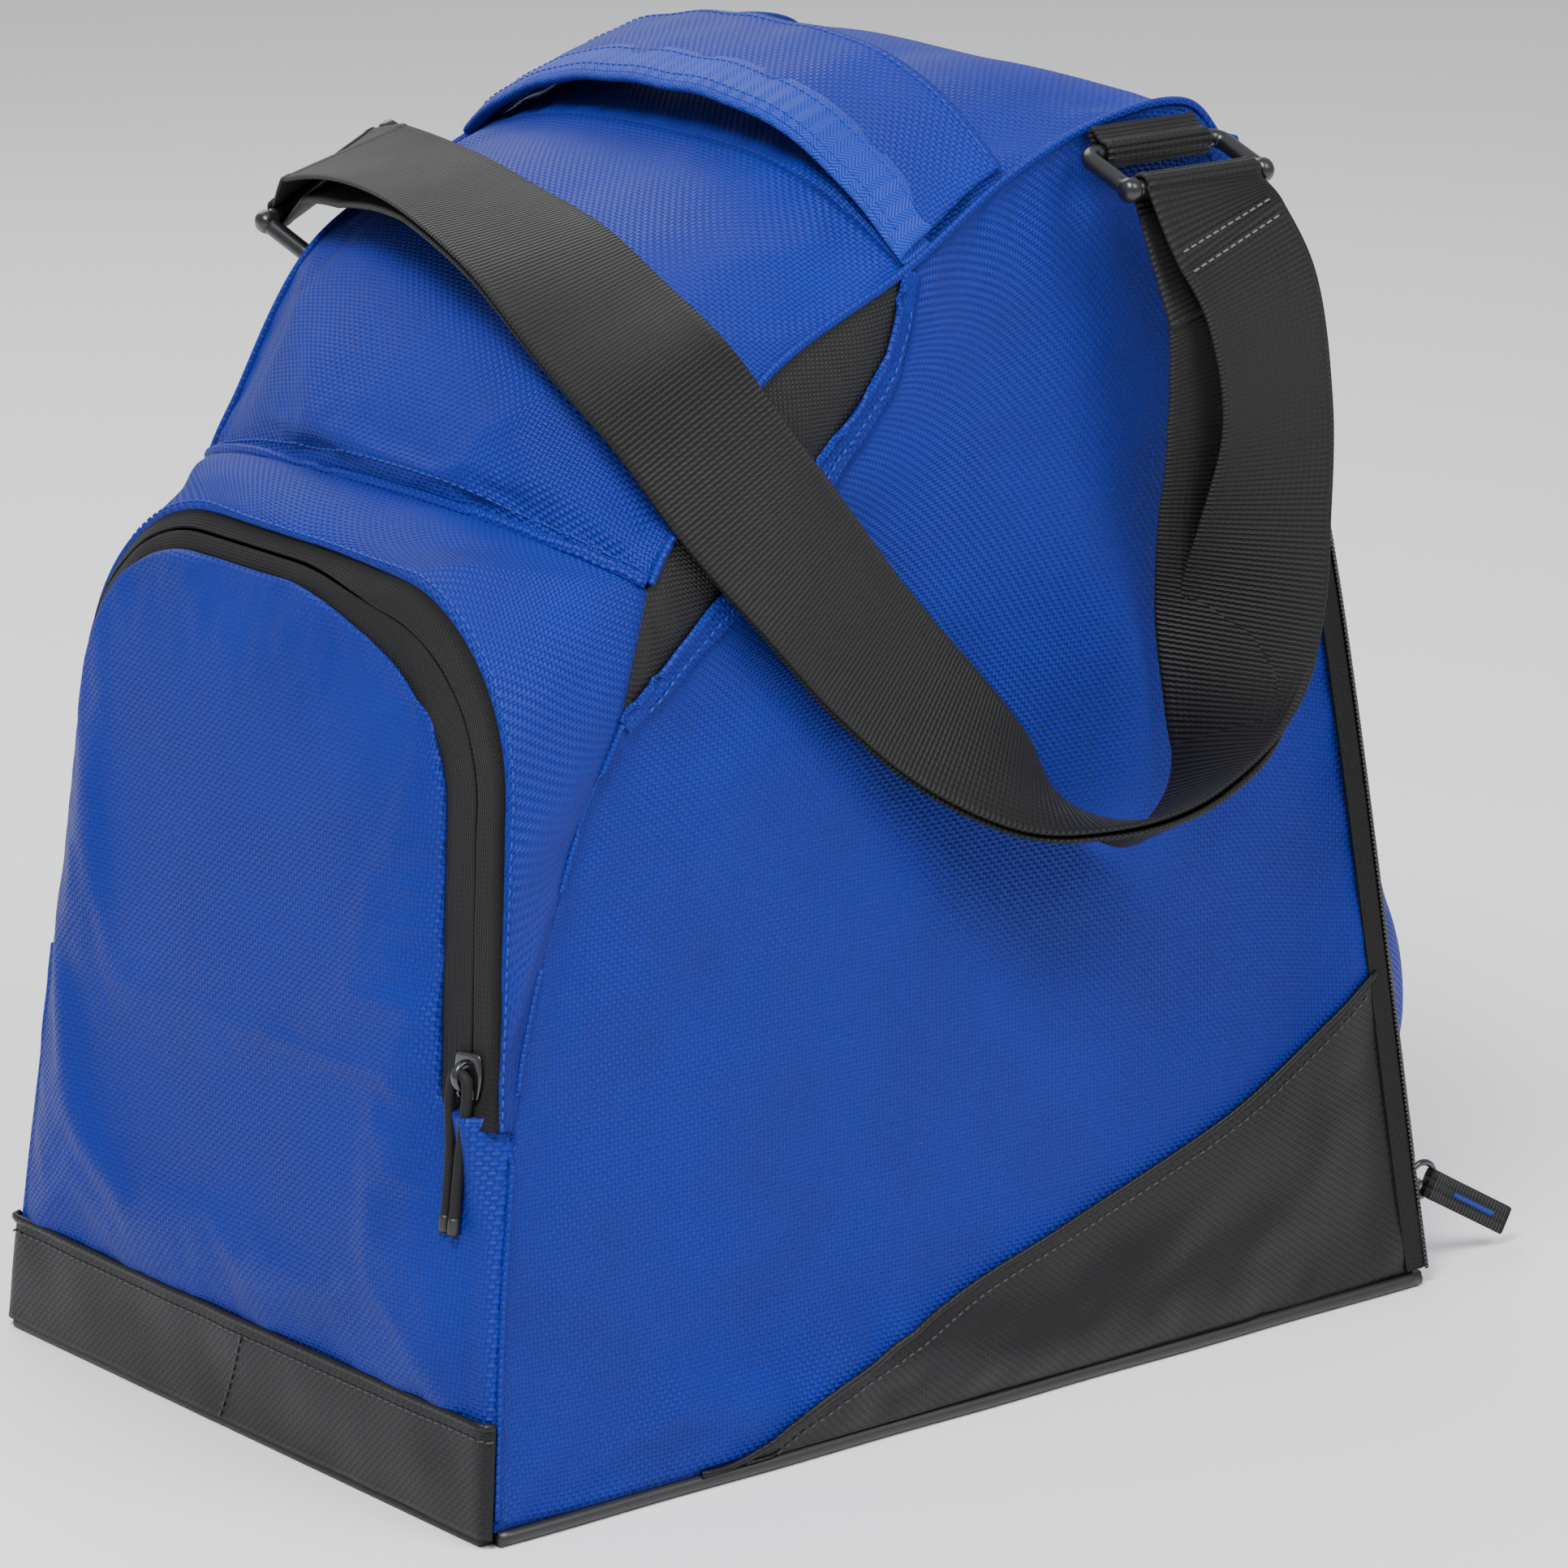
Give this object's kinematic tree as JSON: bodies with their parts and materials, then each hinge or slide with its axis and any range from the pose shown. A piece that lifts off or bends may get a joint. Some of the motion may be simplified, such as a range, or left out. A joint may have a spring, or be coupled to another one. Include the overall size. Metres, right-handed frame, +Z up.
{
  "type": "ski boot bag",
  "caption": "Soft ski boot bag with a zipped front pocket, a zipped loading end, side vents, a carrying handle over the top and a webbing shoulder strap.",
  "frame": {"origin": "middle of the base's resting face", "axes": "-X towards the pocket end, +X towards the zipped loading end, -Y the near side, +Z up"},
  "size_m": [0.4512, 0.3183, 0.4318],
  "materials": {
    "blue_fabric": "woven polyester, satin sheen",
    "coated_fabric": "coated tarpaulin fabric, satin",
    "webbing": "ribbed webbing, matte",
    "zip_tape": "knitted tape, matte",
    "zip_coil": "nylon coil",
    "vent_mesh": "open mesh",
    "twill_tape": "herringbone twill tape",
    "ring_plastic": "moulded acetal, semi-gloss",
    "slider_metal": "black enamel, gloss",
    "piping": "bound piping, satin",
    "board": "matt board",
    "lining": "plain lining cloth",
    "pull_cord": "knitted cord"
  },
  "bodies": {
    "bag": {"base_panel": "coated_fabric", "base_stiffener": "board", "base_piping_near": "piping", "base_piping_far": "piping", "front_base_strip": "coated_fabric", "front_lower_panel": "blue_fabric", "pocket_yoke": "blue_fabric", "pocket_zip_body_tape": "zip_tape", "pocket_zip_body_coil": "zip_coil", "pocket_back_wall": "lining", "front_upper_panel": "blue_fabric", "top_panel": "blue_fabric", "side_panel_near": "blue_fabric", "side_panel_far": "blue_fabric", "lower_guard_near": "coated_fabric", "lower_guard_far": "coated_fabric", "vent_mesh_near": "vent_mesh", "vent_mesh_far": "vent_mesh", "back_zip_body_tape": "zip_tape", "back_zip_body_coil": "zip_coil", "handle_band": "blue_fabric", "handle_binding": "twill_tape", "zip_hood": "blue_fabric"},
    "pocket_flap": {"pocket_flap": "blue_fabric", "pocket_zip_flap_tape": "zip_tape", "pocket_zip_flap_coil": "zip_coil"},
    "pocket_slider": {"pocket_slider": "slider_metal"},
    "pocket_pull": {"pocket_pull_cord": "pull_cord"},
    "back_flap": {"back_flap": "blue_fabric", "back_zip_flap_tape": "zip_tape", "back_zip_flap_coil": "zip_coil"},
    "main_slider": {"main_slider": "slider_metal"},
    "main_pull": {"main_pull_ring": "slider_metal", "main_pull_tab": "webbing"},
    "strap": {"strap_anchor_near": "webbing", "strap_anchor_far": "webbing", "strap_ring_near": "ring_plastic", "strap_ring_far": "ring_plastic", "strap_outer_layer": "webbing", "strap_inner_layer": "webbing"}
  },
  "joints": [
    {"name": "pocket_flap_hinge", "type": "hinge", "parent": "bag", "child": "pocket_flap", "pos_m": [-0.1849, 0, 0.132], "axis": [0, -1, 0], "range_deg": [0, 100]},
    {"name": "pocket_zip_slide", "type": "slide", "parent": "bag", "child": "pocket_slider", "axis": [0.1127, 0.1038, 0.9882], "range_m": [0, 0.07]},
    {"name": "pocket_pull_swing", "type": "hinge", "parent": "pocket_slider", "child": "pocket_pull", "pos_m": [-0.18767, -0.10699, 0.14345], "axis": [0, 1, 0], "range_deg": [0, 150]},
    {"name": "back_flap_hinge", "type": "hinge", "parent": "bag", "child": "back_flap", "pos_m": [0.2, 0, 0.005], "axis": [0, 1, 0], "range_deg": [0, 85]},
    {"name": "main_zip_slide", "type": "slide", "parent": "bag", "child": "main_slider", "axis": [-0.1057, 0.1038, 0.989], "range_m": [0, 0.215]},
    {"name": "main_pull_swing", "type": "hinge", "parent": "main_slider", "child": "main_pull", "pos_m": [0.20715, -0.12175, 0.03208], "axis": [0, -1, 0], "range_deg": [0, 100]},
    {"name": "strap_swing", "type": "hinge", "parent": "bag", "child": "strap", "pos_m": [0.097, -0.0975, 0.4025], "axis": [-0.536, 0.8263, -0.1731], "range_deg": [0, 45]}
  ]
}
